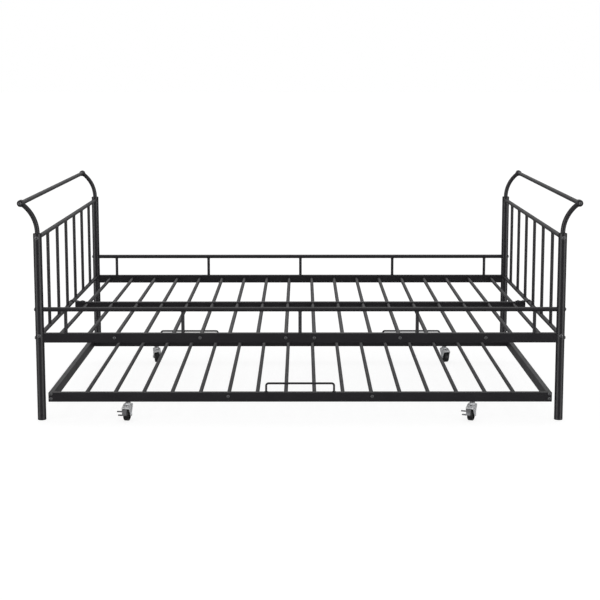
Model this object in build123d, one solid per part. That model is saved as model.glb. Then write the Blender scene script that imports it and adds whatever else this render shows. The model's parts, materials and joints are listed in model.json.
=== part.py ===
"""Full-size metal day bed with a twin trundle that rolls out from under it.

The bed stands on four round posts. Rectangular side rails and a centre rail carry two rows of
round slats, low guard rails run along both long sides, and each end is a row of spindles under
a bar that curls outward. The trundle is a low slatted frame on four swivel casters, the front
two with a foot brake.

Millimetres. X runs along the bed, Y from its front to its back and Z up. The origin is on the
floor, under the middle of the bed.
"""

from build123d import *
import os
from math import cos, radians, sin

# ---- Bed: posts, ends and rails ----
POST_X = 976.0  # post centre from the middle, along the bed
POST_Y = 700.0  # post centre from the middle, across the bed
POST_DIAMETER = 32.0
POST_TOP = 709.0
TUBE_WALL = 1.5

GLIDE_HEIGHT = 4.0
GLIDE_PLUG_TOP = 18.0
COLLAR_FLANGE = 2.0
COLLAR_PLUG = 9.0

SCROLL_DIAMETER = 18.0
SCROLL_RADIUS = 137.0  # bend of the tube that curls outward from each post
SCROLL_ANGLE = 55.0
BOSS_DIAMETER = 26.0
BOSS_LENGTH = 30.0
BOSS_ROUNDING = 6.0

CROSS_DIAMETER = 17.0  # top bars, cross rails and guard rails
CROSS_WALL = 1.2
UPPER_CROSS_Z = 693.0
LOWER_CROSS_Z = 324.0
GUARD_Z = 422.5

SPINDLE_DIAMETER = 12.7
SPINDLE_WALL = 1.0
END_SPINDLE_PITCH = 200.0
END_SPINDLE_COUNT = 6
GUARD_SPINDLE_PITCH = 439.0
GUARD_SPINDLE_COUNT = 5

# ---- Rectangular rails, shared by the bed and the trundle ----
RAIL_HEIGHT = 36.0
RAIL_THICKNESS = 20.0
RAIL_WALL = 1.2
RAIL_CORNER = 2.0
SIDE_RAIL_Z = 315.0  # middle of the rail's height
CENTRE_RAIL_Z = 309.0
CENTRE_RAIL_END = 960.0

BRACKET_PLATE = 3.0  # strap that hooks the centre rail over the lower cross rail
BRACKET_WIDTH = 18.0
BRACKET_TONGUE = 40.0  # length that lies on the centre rail
BRACKET_LIP = 6.0
BRACKET_BOLTS = (8.0, 30.0)  # from the centre rail's end

# ---- Slats ----
SLAT_DIAMETER = 15.0
SLAT_WALL = 1.0
SLAT_HOLE = 15.4
BED_SLAT_PITCH = 107.0
BED_SLAT_COUNT = 18
BED_SLAT_Z = 315.5
BOLTED_BED_SLATS = (0, 3, 6)  # counted outward from the middle, on each side

# ---- Trundle ----
TRUNDLE_END_X = 948.5
TRUNDLE_FRONT_Y = -700.0  # middle of the front rail's thickness
TRUNDLE_BACK_Y = 305.0
TRUNDLE_RAIL_Z = 88.0
TRUNDLE_SLAT_PITCH = 108.4
TRUNDLE_SLAT_COUNT = 16
TRUNDLE_SLAT_Z = 91.0
BOLTED_TRUNDLE_SLAT = 2
END_CAP_PLATE = 2.5
END_CAP_PLUG = 4.0
CORNER_BOLT_SPACING = 18.0
CORNER_BOLT_RISE = 3.0  # how far the pair sits above the middle of the rail

STOP_WIRE = 8.0  # bent wire that keeps the trundle's mattress in place
STOP_WIDTH = 264.0
STOP_WIRE_Z = 139.0
STOP_BEND = 9.0
STOP_LEG_BOTTOM = 99.5
BACK_STOP_X = 500.0
GROMMET_DIAMETER = 14.0
GROMMET_NECK = 11.0
GROMMET_HEIGHT = 2.5

# ---- Casters ----
CASTER_X = 650.0
WHEEL_DIAMETER = 50.0
WHEEL_WIDTH = 20.0
WHEEL_RIM = 6.0
WHEEL_WEB = 10.0
TREAD_ROUNDING = 3.0
HUB_DIAMETER = 16.0
HUB_WIDTH = 26.0
AXLE_DIAMETER = 8.0
AXLE_HEAD = 13.0
AXLE_HEAD_HEIGHT = 3.5
AXLE_HEAD_ROUNDING = 1.2
CASTER_TRAIL = 15.0  # from the swivel axis back to the wheel's axle
FORK_GAP = 27.0
FORK_PLATE = 2.0
FORK_TOP = 60.5
FORK_DOME_TOP = 64.0
FORK_DOME_DIAMETER = 24.0
FORK_DOME_OFFSET = -1.0
FORK_DOME_ROUNDING = 2.5
FORK_EAR = 4.0  # radius of the leg round the brake's pivot
AXLE_EAR = 8.0
# The crown's upper edge: how far behind the swivel axis, and how far above the floor.
CROWN_EDGE = ((-14.0, 54.5), (-10.0, FORK_TOP), (9.0, FORK_TOP), (36.0, 50.6))
CROWN_FRONT_LIP = (-12.0, 53.5)
BRAKE_PIVOT = (31.5, 47.0)
BRAKE_PIN = 2.5
BRAKE_BARREL = 4.0
BRAKE_STRAP_RADIUS = 27.5  # inner face of the strap, from the wheel's axle
BRAKE_STRAP = 2.0
BRAKE_STRAP_SIDES = (5.0, -12.0)
BRAKE_TAB_ROOT = -10.4  # the tabs start beside the wheel and stick out past the fork's leg
BRAKE_TAB = 4.5  # thickness of the tabs
BRAKE_TABS = ((30.0, 6.5, -33.0), (1.0, 8.0, -28.5))  # angle up from the axle, width and tip of each
STEM_DIAMETER = 10.0
STEM_TOP = 92.0
STEM_HEAD = 15.0
STEM_HEAD_HEIGHT = 3.0
NUT_ACROSS_CORNERS = 19.0
NUT_TOP = 69.8
NUT_BOTTOM = 64.4

# Each caster: name, side along the bed, rail that it hangs from, and the way that its wheel
# trails, in degrees round from the bed's front towards the left end.
CASTERS = (
    ("front_left", -1, TRUNDLE_FRONT_Y, 8.0),
    ("front_right", 1, TRUNDLE_FRONT_Y, 22.0),
    ("back_left", -1, TRUNDLE_BACK_Y, -12.0),
    ("back_right", 1, TRUNDLE_BACK_Y, -15.0),
)

# ---- Fasteners ----
BOLT_DIAMETER = 6.0
BOLT_HOLE = 6.6
BOLT_HEAD = 12.0
BOLT_HEAD_HEIGHT = 3.3
BOLT_HEAD_ROUNDING = 2.0
BOLT_SOCKET = 2.3  # centre to corner of the hexagon socket
BOLT_SOCKET_DEPTH = 1.8
PLUG_LENGTH = 22.0  # threaded plug in the end of a tube
SLAT_PLUG_LENGTH = 15.0
BRACKET_BOLT_LENGTH = 8.0
BOLT_TO_SPARE = 2.0  # how far a long bolt stops short of its plug's end
FIT = 0.2  # gap all round a plug in its tube
END_GAP = 0.3  # between a piece's end and the face that it stops against
EDGE_ROUNDING = 1.0  # outer edges of the moulded plastic pieces and the collars

POST_RADIUS = POST_DIAMETER / 2
RAIL_FACE = RAIL_THICKNESS / 2
SIDES = (-1, 1)
FROM_BASE = (Align.CENTER, Align.CENTER, Align.MIN)


def round_bar(start, end, diameter):
    """A solid round bar from start to end."""
    run = Vector(*end) - Vector(*start)
    bar = Cylinder(diameter / 2, run.length, align=FROM_BASE)
    return Plane(origin=start, z_dir=run) * bar


def round_tube(start, end, diameter, wall):
    """A round tube from start to end, open at both ends."""
    return round_bar(start, end, diameter) - round_bar(start, end, diameter - 2 * wall)


def rail_tube(start, end):
    """A rectangular tube from start to end, standing on its narrow side."""
    run = Vector(*end) - Vector(*start)
    across = Vector(0, 0, 1).cross(run)
    plane = Plane(origin=start, x_dir=across, z_dir=run)
    inner_size = (RAIL_THICKNESS - 2 * RAIL_WALL, RAIL_HEIGHT - 2 * RAIL_WALL)
    section = RectangleRounded(RAIL_THICKNESS, RAIL_HEIGHT, RAIL_CORNER)
    section -= RectangleRounded(*inner_size, RAIL_CORNER - RAIL_WALL)
    return plane * extrude(section, run.length)


def bolt(seat, direction, length):
    """A button-head bolt: seat is under its head, and direction is the way its shank points."""
    head = Pos(0, 0, -BOLT_HEAD_HEIGHT) * Cylinder(BOLT_HEAD / 2, BOLT_HEAD_HEIGHT, align=FROM_BASE)
    head = fillet(head.edges().sort_by(Axis.Z)[0], BOLT_HEAD_ROUNDING)
    socket = extrude(RegularPolygon(BOLT_SOCKET, 6), BOLT_SOCKET_DEPTH)
    head -= Pos(0, 0, -BOLT_HEAD_HEIGHT) * socket
    shank = Cylinder(BOLT_DIAMETER / 2, length, align=FROM_BASE)
    return Plane(origin=seat, z_dir=direction) * (head + shank)


def round_plug(start, direction, diameter, length):
    """A threaded plug that sits in the end of a round tube and takes a bolt along its axis."""
    plug = Cylinder(diameter / 2, length, align=FROM_BASE)
    plug -= Cylinder(BOLT_DIAMETER / 2, length, align=FROM_BASE)
    return Plane(origin=start, z_dir=direction) * plug


def rail_bore():
    """The section of a piece that slides into a rectangular rail's end."""
    less = 2 * (RAIL_WALL + FIT)
    return RectangleRounded(RAIL_THICKNESS - less, RAIL_HEIGHT - less, RAIL_CORNER - RAIL_WALL)


def rail_plug(start, direction, length, bolt_offsets):
    """A threaded block in the end of a rectangular rail, with a hole at each height offset."""
    block = extrude(rail_bore(), length)
    for offset in bolt_offsets:
        block -= Pos(0, offset, 0) * Cylinder(BOLT_DIAMETER / 2, length, align=FROM_BASE)
    across = Vector(0, 0, 1).cross(Vector(*direction))
    return Plane(origin=start, x_dir=across, z_dir=direction) * block


def post_body(x_side, y_side):
    """The solid outline of one post, which other tubes are cut to fit against."""
    x, y = x_side * POST_X, y_side * POST_Y
    return round_bar((x, y, 0), (x, y, POST_TOP), POST_DIAMETER)


def fit_between_posts(tube, corners):
    """Cuts the ends of a tube to the round of the posts that it meets."""
    for x_side, y_side in corners:
        tube -= post_body(x_side, y_side)
    return tube


# ---- Posts and ends ----
def post(x_side, y_side):
    """A post, drilled along X for the two rails and along Y for the two cross rails."""
    x, y = x_side * POST_X, y_side * POST_Y
    top = POST_TOP - COLLAR_FLANGE
    tube = round_tube((x, y, GLIDE_HEIGHT), (x, y, top), POST_DIAMETER, TUBE_WALL)
    for z in (SIDE_RAIL_Z, GUARD_Z):
        tube -= round_bar((x - POST_DIAMETER, y, z), (x + POST_DIAMETER, y, z), BOLT_HOLE)
    for z in (LOWER_CROSS_Z, UPPER_CROSS_Z):
        tube -= round_bar((x, y - POST_DIAMETER, z), (x, y + POST_DIAMETER, z), BOLT_HOLE)
    return tube


def post_glide():
    """A plastic glide: a disc on the floor with a plug up inside the post."""
    disc = Cylinder(POST_RADIUS, GLIDE_HEIGHT, align=FROM_BASE)
    disc = fillet(disc.edges().sort_by(Axis.Z)[0], EDGE_ROUNDING)
    plug_radius = POST_RADIUS - TUBE_WALL - FIT
    return disc + Cylinder(plug_radius, GLIDE_PLUG_TOP, align=FROM_BASE)


def post_collar():
    """A ring that closes a post's top and holds the scroll tube upright in it."""
    plug_radius = POST_RADIUS - TUBE_WALL - FIT
    flange = Cylinder(POST_RADIUS, COLLAR_FLANGE, align=FROM_BASE)
    flange = fillet(flange.edges().sort_by(Axis.Z)[-1], EDGE_ROUNDING)
    plug = Pos(0, 0, -COLLAR_PLUG) * Cylinder(plug_radius, COLLAR_PLUG, align=FROM_BASE)
    bore_depth = COLLAR_PLUG + COLLAR_FLANGE
    bore = Cylinder(SCROLL_DIAMETER / 2 + FIT / 2, bore_depth, align=FROM_BASE)
    return flange + plug - Pos(0, 0, -COLLAR_PLUG) * bore


def boss_centre(x_side, y_side):
    """Where the scroll tube's bend ends, which is the middle of its boss."""
    reach = SCROLL_RADIUS * (1 - cos(radians(SCROLL_ANGLE)))
    rise = SCROLL_RADIUS * sin(radians(SCROLL_ANGLE))
    return x_side * (POST_X + reach), y_side * POST_Y, POST_TOP + rise


def boss_body(x_side, y_side, bore):
    """A rounded boss across the end of a scroll tube, drilled along Y unless bore is 0."""
    x, y, z = boss_centre(x_side, y_side)
    body = Cylinder(BOSS_DIAMETER / 2, BOSS_LENGTH)
    body = fillet(body.edges().filter_by(GeomType.CIRCLE), BOSS_ROUNDING)
    if bore:
        body -= Cylinder(bore / 2, BOSS_LENGTH)
    return Pos(x, y, z) * Rot(90, 0, 0) * body


def scroll_tube(x_side, y_side):
    """A tube that rises from a post's collar and curls outward to its boss."""
    y = y_side * POST_Y
    ring = Circle(SCROLL_DIAMETER / 2) - Circle(SCROLL_DIAMETER / 2 - TUBE_WALL)
    foot = POST_TOP - COLLAR_FLANGE - COLLAR_PLUG
    straight = Pos(POST_X, y, foot) * extrude(ring, POST_TOP - foot)
    bend_axis = Axis((POST_X + SCROLL_RADIUS, y, POST_TOP), (0, 1, 0))
    bend = revolve(Pos(POST_X, y, POST_TOP) * ring, bend_axis, SCROLL_ANGLE)
    tube = straight + bend - boss_body(1, y_side, 0)
    return tube if x_side > 0 else mirror(tube, about=Plane.YZ)


def top_bar(x_side):
    """The bar between the two bosses of one end."""
    x, y, z = boss_centre(x_side, 1)
    reach = y - BOSS_LENGTH / 2
    return round_tube((x, -reach, z), (x, reach, z), CROSS_DIAMETER, CROSS_WALL)


def cross_rail(x_side, z):
    """A round rail between the front and back posts of one end."""
    x = x_side * POST_X
    tube = round_tube((x, -POST_Y, z), (x, POST_Y, z), CROSS_DIAMETER, CROSS_WALL)
    return fit_between_posts(tube, [(x_side, -1), (x_side, 1)])


def end_spindles(x_side):
    """The upright spindles of one end, cut to the round of both cross rails."""
    x = x_side * POST_X
    rails = [
        round_bar((x, -POST_Y, z), (x, POST_Y, z), CROSS_DIAMETER)
        for z in (LOWER_CROSS_Z, UPPER_CROSS_Z)
    ]
    spindles = []
    for y in spread(END_SPINDLE_COUNT, END_SPINDLE_PITCH):
        ends = (x, y, LOWER_CROSS_Z), (x, y, UPPER_CROSS_Z)
        spindles.append(round_tube(*ends, SPINDLE_DIAMETER, SPINDLE_WALL) - rails)
    return spindles


def spread(count, pitch):
    """Places that are evenly spaced about the middle."""
    return [pitch * (i - (count - 1) / 2) for i in range(count)]


# ---- Side rails, guard rails and centre rail ----
def slat_holes(rail, places, y, z, from_side):
    """Punches a rail's wall, on the side that its slats come from."""
    wall = y + from_side * RAIL_FACE
    for x in places:
        rail -= round_bar(
            (x, wall - from_side * RAIL_THICKNESS / 2, z),
            (x, wall + from_side * RAIL_THICKNESS / 2, z),
            SLAT_HOLE,
        )
    return rail


def bolt_holes(rail, places, y, z, outer_side):
    """Drills a rail's outer wall for the bolts that hold some of its slats."""
    for x in places:
        rail -= round_bar((x, y, z), (x, y + outer_side * RAIL_THICKNESS, z), BOLT_HOLE)
    return rail


def bolted_places(places, ranks):
    """The slat places that have a bolt: ranks count outward from the middle on each side."""
    half = len(places) // 2
    return [places[half + rank] for rank in ranks] + [places[half - 1 - rank] for rank in ranks]


def side_rail(y_side):
    """A long rectangular rail between two posts, punched for the slats on its inner side."""
    y = y_side * POST_Y
    tube = rail_tube((-POST_X, y, SIDE_RAIL_Z), (POST_X, y, SIDE_RAIL_Z))
    tube = fit_between_posts(tube, [(-1, y_side), (1, y_side)])
    places = spread(BED_SLAT_COUNT, BED_SLAT_PITCH)
    tube = slat_holes(tube, places, y, BED_SLAT_Z, -y_side)
    bolted = bolted_places(places, BOLTED_BED_SLATS)
    return bolt_holes(tube, bolted, y, BED_SLAT_Z, y_side)


def guard_rail(y_side):
    """A round rail above the side rail, which keeps the mattress in."""
    y = y_side * POST_Y
    tube = round_tube((-POST_X, y, GUARD_Z), (POST_X, y, GUARD_Z), CROSS_DIAMETER, CROSS_WALL)
    return fit_between_posts(tube, [(-1, y_side), (1, y_side)])


def guard_spindles(y_side):
    """Short uprights from the side rail's top to the guard rail."""
    y = y_side * POST_Y
    rail_top = SIDE_RAIL_Z + RAIL_HEIGHT / 2
    guard = round_bar((-POST_X, y, GUARD_Z), (POST_X, y, GUARD_Z), CROSS_DIAMETER)
    return [
        round_tube((x, y, rail_top), (x, y, GUARD_Z), SPINDLE_DIAMETER, SPINDLE_WALL) - guard
        for x in spread(GUARD_SPINDLE_COUNT, GUARD_SPINDLE_PITCH)
    ]


def centre_rail():
    """The rail under the middle of the bed, punched on both sides for the two rows of slats."""
    ends = (-CENTRE_RAIL_END, 0, CENTRE_RAIL_Z), (CENTRE_RAIL_END, 0, CENTRE_RAIL_Z)
    tube = rail_tube(*ends)
    places = spread(BED_SLAT_COUNT, BED_SLAT_PITCH)
    for side in SIDES:
        tube = slat_holes(tube, places, 0, BED_SLAT_Z, side)
    for x in bracket_bolt_places():
        top = CENTRE_RAIL_Z + RAIL_HEIGHT / 2
        tube -= round_bar((x, 0, top - RAIL_CORNER), (x, 0, top + RAIL_CORNER), BOLT_HOLE)
    return tube


def bracket_bolt_places():
    """Two bolts through each bracket's tongue into the centre rail."""
    return [side * (CENTRE_RAIL_END - inset) for side in SIDES for inset in BRACKET_BOLTS]


def centre_rail_bracket(x_side):
    """A strap that lies on the centre rail's end and hooks over the lower cross rail."""
    rail_top = CENTRE_RAIL_Z + RAIL_HEIGHT / 2
    inner = CROSS_DIAMETER / 2 + FIT
    outer = inner + BRACKET_PLATE
    ring = Circle(outer) - Circle(inner)
    hook = ring - Pos(0, -outer) * Rectangle(2 * outer, 2 * outer)
    hook += Pos((inner + outer) / 2, -BRACKET_LIP / 2) * Rectangle(BRACKET_PLATE, BRACKET_LIP)
    tongue_start = CENTRE_RAIL_END - BRACKET_TONGUE - POST_X
    tongue_base = rail_top - LOWER_CROSS_Z
    tongue_end = -(inner**2 - (tongue_base + BRACKET_PLATE) ** 2) ** 0.5 - BRACKET_PLATE / 2
    tongue_length = tongue_end - tongue_start
    tongue = Pos(tongue_start, tongue_base) * Rectangle(
        tongue_length, BRACKET_PLATE, align=(Align.MIN, Align.MIN)
    )
    profile = hook + tongue - Circle(inner)
    strap = extrude(profile, BRACKET_WIDTH / 2, both=True)
    plane = Plane(origin=(POST_X, 0, LOWER_CROSS_Z), x_dir=(1, 0, 0), z_dir=(0, -1, 0))
    strap = plane * strap
    for x in bracket_bolt_places():
        strap -= round_bar((x, 0, rail_top), (x, 0, rail_top + BRACKET_PLATE), BOLT_HOLE)
    return strap if x_side > 0 else mirror(strap, about=Plane.YZ)


def slat_row(places, start_y, end_y, z):
    """One row of round slats, side by side."""
    return [
        round_tube((x, start_y, z), (x, end_y, z), SLAT_DIAMETER, SLAT_WALL) for x in places
    ]


def slat_end(rail_y, outer_side):
    """Where a slat stops inside a rail, just short of the rail's outer wall."""
    return rail_y + outer_side * (RAIL_FACE - RAIL_WALL - END_GAP)


# ---- Bed fasteners ----
def rail_end_plugs():
    """Threaded plugs in every tube end that is bolted to a post or a boss."""
    plugs = []
    bore = CROSS_DIAMETER - 2 * (CROSS_WALL + FIT)
    gap = POST_RADIUS + END_GAP
    for x_side in SIDES:
        for y_side in SIDES:
            x, y = x_side * POST_X, y_side * POST_Y
            along, across = (-x_side, 0, 0), (0, -y_side, 0)
            beside, within = x - x_side * gap, y - y_side * gap
            plugs.append(rail_plug((beside, y, SIDE_RAIL_Z), along, PLUG_LENGTH, [0]))
            plugs.append(round_plug((beside, y, GUARD_Z), along, bore, PLUG_LENGTH))
            for z in (LOWER_CROSS_Z, UPPER_CROSS_Z):
                plugs.append(round_plug((x, within, z), across, bore, PLUG_LENGTH))
            boss_x, boss_y, boss_z = boss_centre(x_side, y_side)
            bar_end = boss_y - y_side * (BOSS_LENGTH / 2 + END_GAP)
            plugs.append(round_plug((boss_x, bar_end, boss_z), across, bore, PLUG_LENGTH))
    return plugs


def frame_bolts():
    """The long bolts that go through each post into a rail, and through each boss."""
    bolts = []
    through_post = POST_DIAMETER + PLUG_LENGTH - BOLT_TO_SPARE
    through_boss = BOSS_LENGTH + PLUG_LENGTH - BOLT_TO_SPARE
    for x_side in SIDES:
        for y_side in SIDES:
            x, y = x_side * POST_X, y_side * POST_Y
            for z in (SIDE_RAIL_Z, GUARD_Z):
                bolts.append(bolt((x + x_side * POST_RADIUS, y, z), (-x_side, 0, 0), through_post))
            for z in (LOWER_CROSS_Z, UPPER_CROSS_Z):
                bolts.append(bolt((x, y + y_side * POST_RADIUS, z), (0, -y_side, 0), through_post))
            boss_x, boss_y, boss_z = boss_centre(x_side, y_side)
            seat = (boss_x, boss_y + y_side * BOSS_LENGTH / 2, boss_z)
            bolts.append(bolt(seat, (0, -y_side, 0), through_boss))
    return bolts


def slat_plugs(places, rail_y, outer_side, z):
    """Threaded plugs in the ends of the slats that are bolted."""
    bore = SLAT_DIAMETER - 2 * (SLAT_WALL + FIT / 2)
    start = slat_end(rail_y, outer_side)
    inward = (0, -outer_side, 0)
    return [round_plug((x, start, z), inward, bore, SLAT_PLUG_LENGTH) for x in places]


def slat_bolts(places, rail_y, outer_side, z):
    """Short bolts through a rail's outer wall into the slats."""
    seat_y = rail_y + outer_side * RAIL_FACE
    inward = (0, -outer_side, 0)
    return [bolt((x, seat_y, z), inward, SLAT_PLUG_LENGTH) for x in places]


def bracket_bolts():
    """Short bolts down through the bracket tongues."""
    seat_z = CENTRE_RAIL_Z + RAIL_HEIGHT / 2 + BRACKET_PLATE
    return [bolt((x, 0, seat_z), (0, 0, -1), BRACKET_BOLT_LENGTH) for x in bracket_bolt_places()]


def bed_slat_fasteners(make):
    """Plugs or bolts, as make says, for both side rails."""
    bolted = bolted_places(spread(BED_SLAT_COUNT, BED_SLAT_PITCH), BOLTED_BED_SLATS)
    pieces = []
    for side in SIDES:
        pieces += make(bolted, side * POST_Y, side, BED_SLAT_Z)
    return pieces


# ---- Trundle frame ----
def stop_legs(y_side):
    """Where the mattress stops stand on the front (-1) or back (1) rail: centre of each leg."""
    middles = [0.0] if y_side < 0 else [-BACK_STOP_X, BACK_STOP_X]
    reach = (STOP_WIDTH - STOP_WIRE) / 2
    return [middle + side * reach for middle in middles for side in SIDES]


def trundle_rail(y, outer_side):
    """A long rail of the trundle, with its slat, bolt, stop and caster holes."""
    end = TRUNDLE_END_X - END_CAP_PLATE
    tube = rail_tube((-end, y, TRUNDLE_RAIL_Z), (end, y, TRUNDLE_RAIL_Z))
    places = spread(TRUNDLE_SLAT_COUNT, TRUNDLE_SLAT_PITCH)
    tube = slat_holes(tube, places, y, TRUNDLE_SLAT_Z, -outer_side)
    bolted = bolted_places(places, [BOLTED_TRUNDLE_SLAT])
    tube = bolt_holes(tube, bolted, y, TRUNDLE_SLAT_Z, outer_side)
    for x in corner_places():
        for z in corner_heights():
            tube -= round_bar((x, y - RAIL_THICKNESS, z), (x, y + RAIL_THICKNESS, z), BOLT_HOLE)
    for x in stop_legs(outer_side):
        top = TRUNDLE_RAIL_Z + RAIL_HEIGHT / 2
        tube -= round_bar((x, y, top - RAIL_CORNER), (x, y, top + RAIL_CORNER), GROMMET_NECK)
    for side in SIDES:
        x, base = side * CASTER_X, TRUNDLE_RAIL_Z - RAIL_HEIGHT / 2
        hole = STEM_DIAMETER + FIT
        tube -= round_bar((x, y, base - RAIL_CORNER), (x, y, base + RAIL_CORNER), hole)
    return tube


def trundle_side_rail(x_side):
    """A short rail between the trundle's front and back rails."""
    x = x_side * (TRUNDLE_END_X - RAIL_FACE)
    start = (x, TRUNDLE_FRONT_Y + RAIL_FACE, TRUNDLE_RAIL_Z)
    end = (x, TRUNDLE_BACK_Y - RAIL_FACE, TRUNDLE_RAIL_Z)
    return rail_tube(start, end)


def corner_places():
    """Where the corner bolts are along the front and back rails."""
    return [side * (TRUNDLE_END_X - RAIL_FACE) for side in SIDES]


def corner_heights():
    """The heights of the two bolts at each corner."""
    middle = TRUNDLE_RAIL_Z + CORNER_BOLT_RISE
    return [middle + side * CORNER_BOLT_SPACING / 2 for side in SIDES]


def trundle_long_rails():
    """The middle of each long rail's thickness, and the side of the trundle that it is on."""
    return (TRUNDLE_FRONT_Y, -1), (TRUNDLE_BACK_Y, 1)


def trundle_bolts():
    """Two bolts at each corner, and one into each bolted slat's end."""
    bolted = bolted_places(spread(TRUNDLE_SLAT_COUNT, TRUNDLE_SLAT_PITCH), [BOLTED_TRUNDLE_SLAT])
    length = RAIL_THICKNESS + SLAT_PLUG_LENGTH - BOLT_TO_SPARE
    bolts = []
    for y, outer_side in trundle_long_rails():
        bolts += slat_bolts(bolted, y, outer_side, TRUNDLE_SLAT_Z)
        for x in corner_places():
            for z in corner_heights():
                seat = (x, y + outer_side * RAIL_FACE, z)
                bolts.append(bolt(seat, (0, -outer_side, 0), length))
    return bolts


def trundle_plugs():
    """Threaded plugs in the side rails' ends and in the bolted slats."""
    bolted = bolted_places(spread(TRUNDLE_SLAT_COUNT, TRUNDLE_SLAT_PITCH), [BOLTED_TRUNDLE_SLAT])
    offsets = [z - TRUNDLE_RAIL_Z for z in corner_heights()]
    plugs = []
    for y, outer_side in trundle_long_rails():
        plugs += slat_plugs(bolted, y, outer_side, TRUNDLE_SLAT_Z)
        start_y = y - outer_side * (RAIL_FACE + END_GAP)
        for x in corner_places():
            start = (x, start_y, TRUNDLE_RAIL_Z)
            plugs.append(rail_plug(start, (0, -outer_side, 0), SLAT_PLUG_LENGTH, offsets))
    return plugs


def trundle_end_caps():
    """Plastic caps in the ends of the two long rails."""
    caps = []
    plate = extrude(RectangleRounded(RAIL_THICKNESS, RAIL_HEIGHT, RAIL_CORNER), END_CAP_PLATE)
    plate = fillet(plate.faces().sort_by(Axis.Z)[-1].edges(), EDGE_ROUNDING)
    cap = plate + Pos(0, 0, -END_CAP_PLUG) * extrude(rail_bore(), END_CAP_PLUG)
    for y, _ in trundle_long_rails():
        for side in SIDES:
            end = (side * (TRUNDLE_END_X - END_CAP_PLATE), y, TRUNDLE_RAIL_Z)
            caps.append(Plane(origin=end, x_dir=(0, 1, 0), z_dir=(side, 0, 0)) * cap)
    return caps


def mattress_stop(middle_x, y):
    """A bent wire that stands on a trundle rail, with its two legs through the rail's top."""
    reach = (STOP_WIDTH - STOP_WIRE) / 2
    corners = [
        (middle_x - reach, y, STOP_LEG_BOTTOM),
        (middle_x - reach, y, STOP_WIRE_Z),
        (middle_x + reach, y, STOP_WIRE_Z),
        (middle_x + reach, y, STOP_LEG_BOTTOM),
    ]
    path = FilletPolyline(*corners, radius=STOP_BEND)
    return sweep(Plane(origin=corners[0]) * Circle(STOP_WIRE / 2), path)


def stop_grommets():
    """A plastic ring round each leg where it enters the rail."""
    ring = Cylinder(GROMMET_DIAMETER / 2, GROMMET_HEIGHT, align=FROM_BASE)
    ring = fillet(ring.edges().sort_by(Axis.Z)[-1], EDGE_ROUNDING)
    neck = Cylinder(GROMMET_NECK / 2 - FIT / 2, RAIL_WALL, align=FROM_BASE)
    ring += Pos(0, 0, -RAIL_WALL) * neck
    bore = Cylinder(STOP_WIRE / 2 + FIT / 2, GROMMET_HEIGHT + RAIL_WALL, align=FROM_BASE)
    ring -= Pos(0, 0, -RAIL_WALL) * bore
    top = TRUNDLE_RAIL_Z + RAIL_HEIGHT / 2
    return [Pos(x, y, top) * ring for y, side in trundle_long_rails() for x in stop_legs(side)]


# ---- Casters, made about the swivel axis with the wheel trailing along +X ----
def caster_stem():
    """A kingpin: its head is under the fork's crown, and its shank goes up into the rail."""
    head_top = FORK_TOP - FORK_PLATE - END_GAP
    head = Cylinder(STEM_HEAD / 2, STEM_HEAD_HEIGHT, align=FROM_BASE)
    shank = Cylinder(STEM_DIAMETER / 2, STEM_TOP - head_top, align=FROM_BASE)
    return Pos(0, 0, head_top - STEM_HEAD_HEIGHT) * head + Pos(0, 0, head_top) * shank


def caster_nut():
    """The hexagon nut between the fork's crown and the rail."""
    nut = extrude(RegularPolygon(NUT_ACROSS_CORNERS / 2, 6), NUT_TOP - NUT_BOTTOM)
    nut -= Cylinder(STEM_DIAMETER / 2 + FIT / 2, NUT_TOP - NUT_BOTTOM, align=FROM_BASE)
    return Pos(0, 0, NUT_BOTTOM) * nut


def side_plane(y):
    """A plane across the caster at y, whose own X and Y are the caster's X and Z."""
    return Plane(origin=(0, y, 0), x_dir=(1, 0, 0), z_dir=(0, -1, 0))


def cross_pin(x, z, diameter, width):
    """A round pin across the caster, centred on its middle plane."""
    return side_plane(0) * Pos(x, z) * Cylinder(diameter / 2, width)


def caster_fork():
    """A pressed steel fork: two tapered legs, a crown that slopes back, and a bearing dome."""
    pivot_ear = Pos(*BRAKE_PIVOT) * Circle(FORK_EAR)
    axle_ear = Pos(CASTER_TRAIL, WHEEL_DIAMETER / 2) * Circle(AXLE_EAR)
    crown_outline = Polygon(*CROWN_EDGE, align=None)
    edges = crown_outline.edges() + pivot_ear.edges() + axle_ear.edges()
    leg = extrude(make_hull(edges), FORK_PLATE)
    inner = FORK_GAP / 2
    legs = side_plane(inner + FORK_PLATE) * leg + side_plane(-inner) * leg
    lower = [(x, z - FORK_PLATE) for x, z in reversed(CROWN_EDGE[1:])]
    plate = Polygon(*CROWN_EDGE, *lower, CROWN_FRONT_LIP, align=None)
    crown = side_plane(0) * extrude(plate, inner, both=True)
    dome_height = FORK_DOME_TOP - FORK_TOP + FORK_PLATE / 2
    dome = Cylinder(FORK_DOME_DIAMETER / 2, dome_height, align=FROM_BASE)
    dome = fillet(dome.edges().sort_by(Axis.Z)[-1], FORK_DOME_ROUNDING)
    fork = legs + crown + Pos(FORK_DOME_OFFSET, 0, FORK_DOME_TOP - dome_height) * dome
    fork -= Cylinder(STEM_DIAMETER / 2 + FIT / 2, FORK_DOME_TOP + 1, align=FROM_BASE)
    width = FORK_GAP + 4 * FORK_PLATE
    fork -= cross_pin(CASTER_TRAIL, WHEEL_DIAMETER / 2, AXLE_DIAMETER + FIT, width)
    return fork - cross_pin(*BRAKE_PIVOT, BRAKE_PIN + FIT, width)


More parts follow.
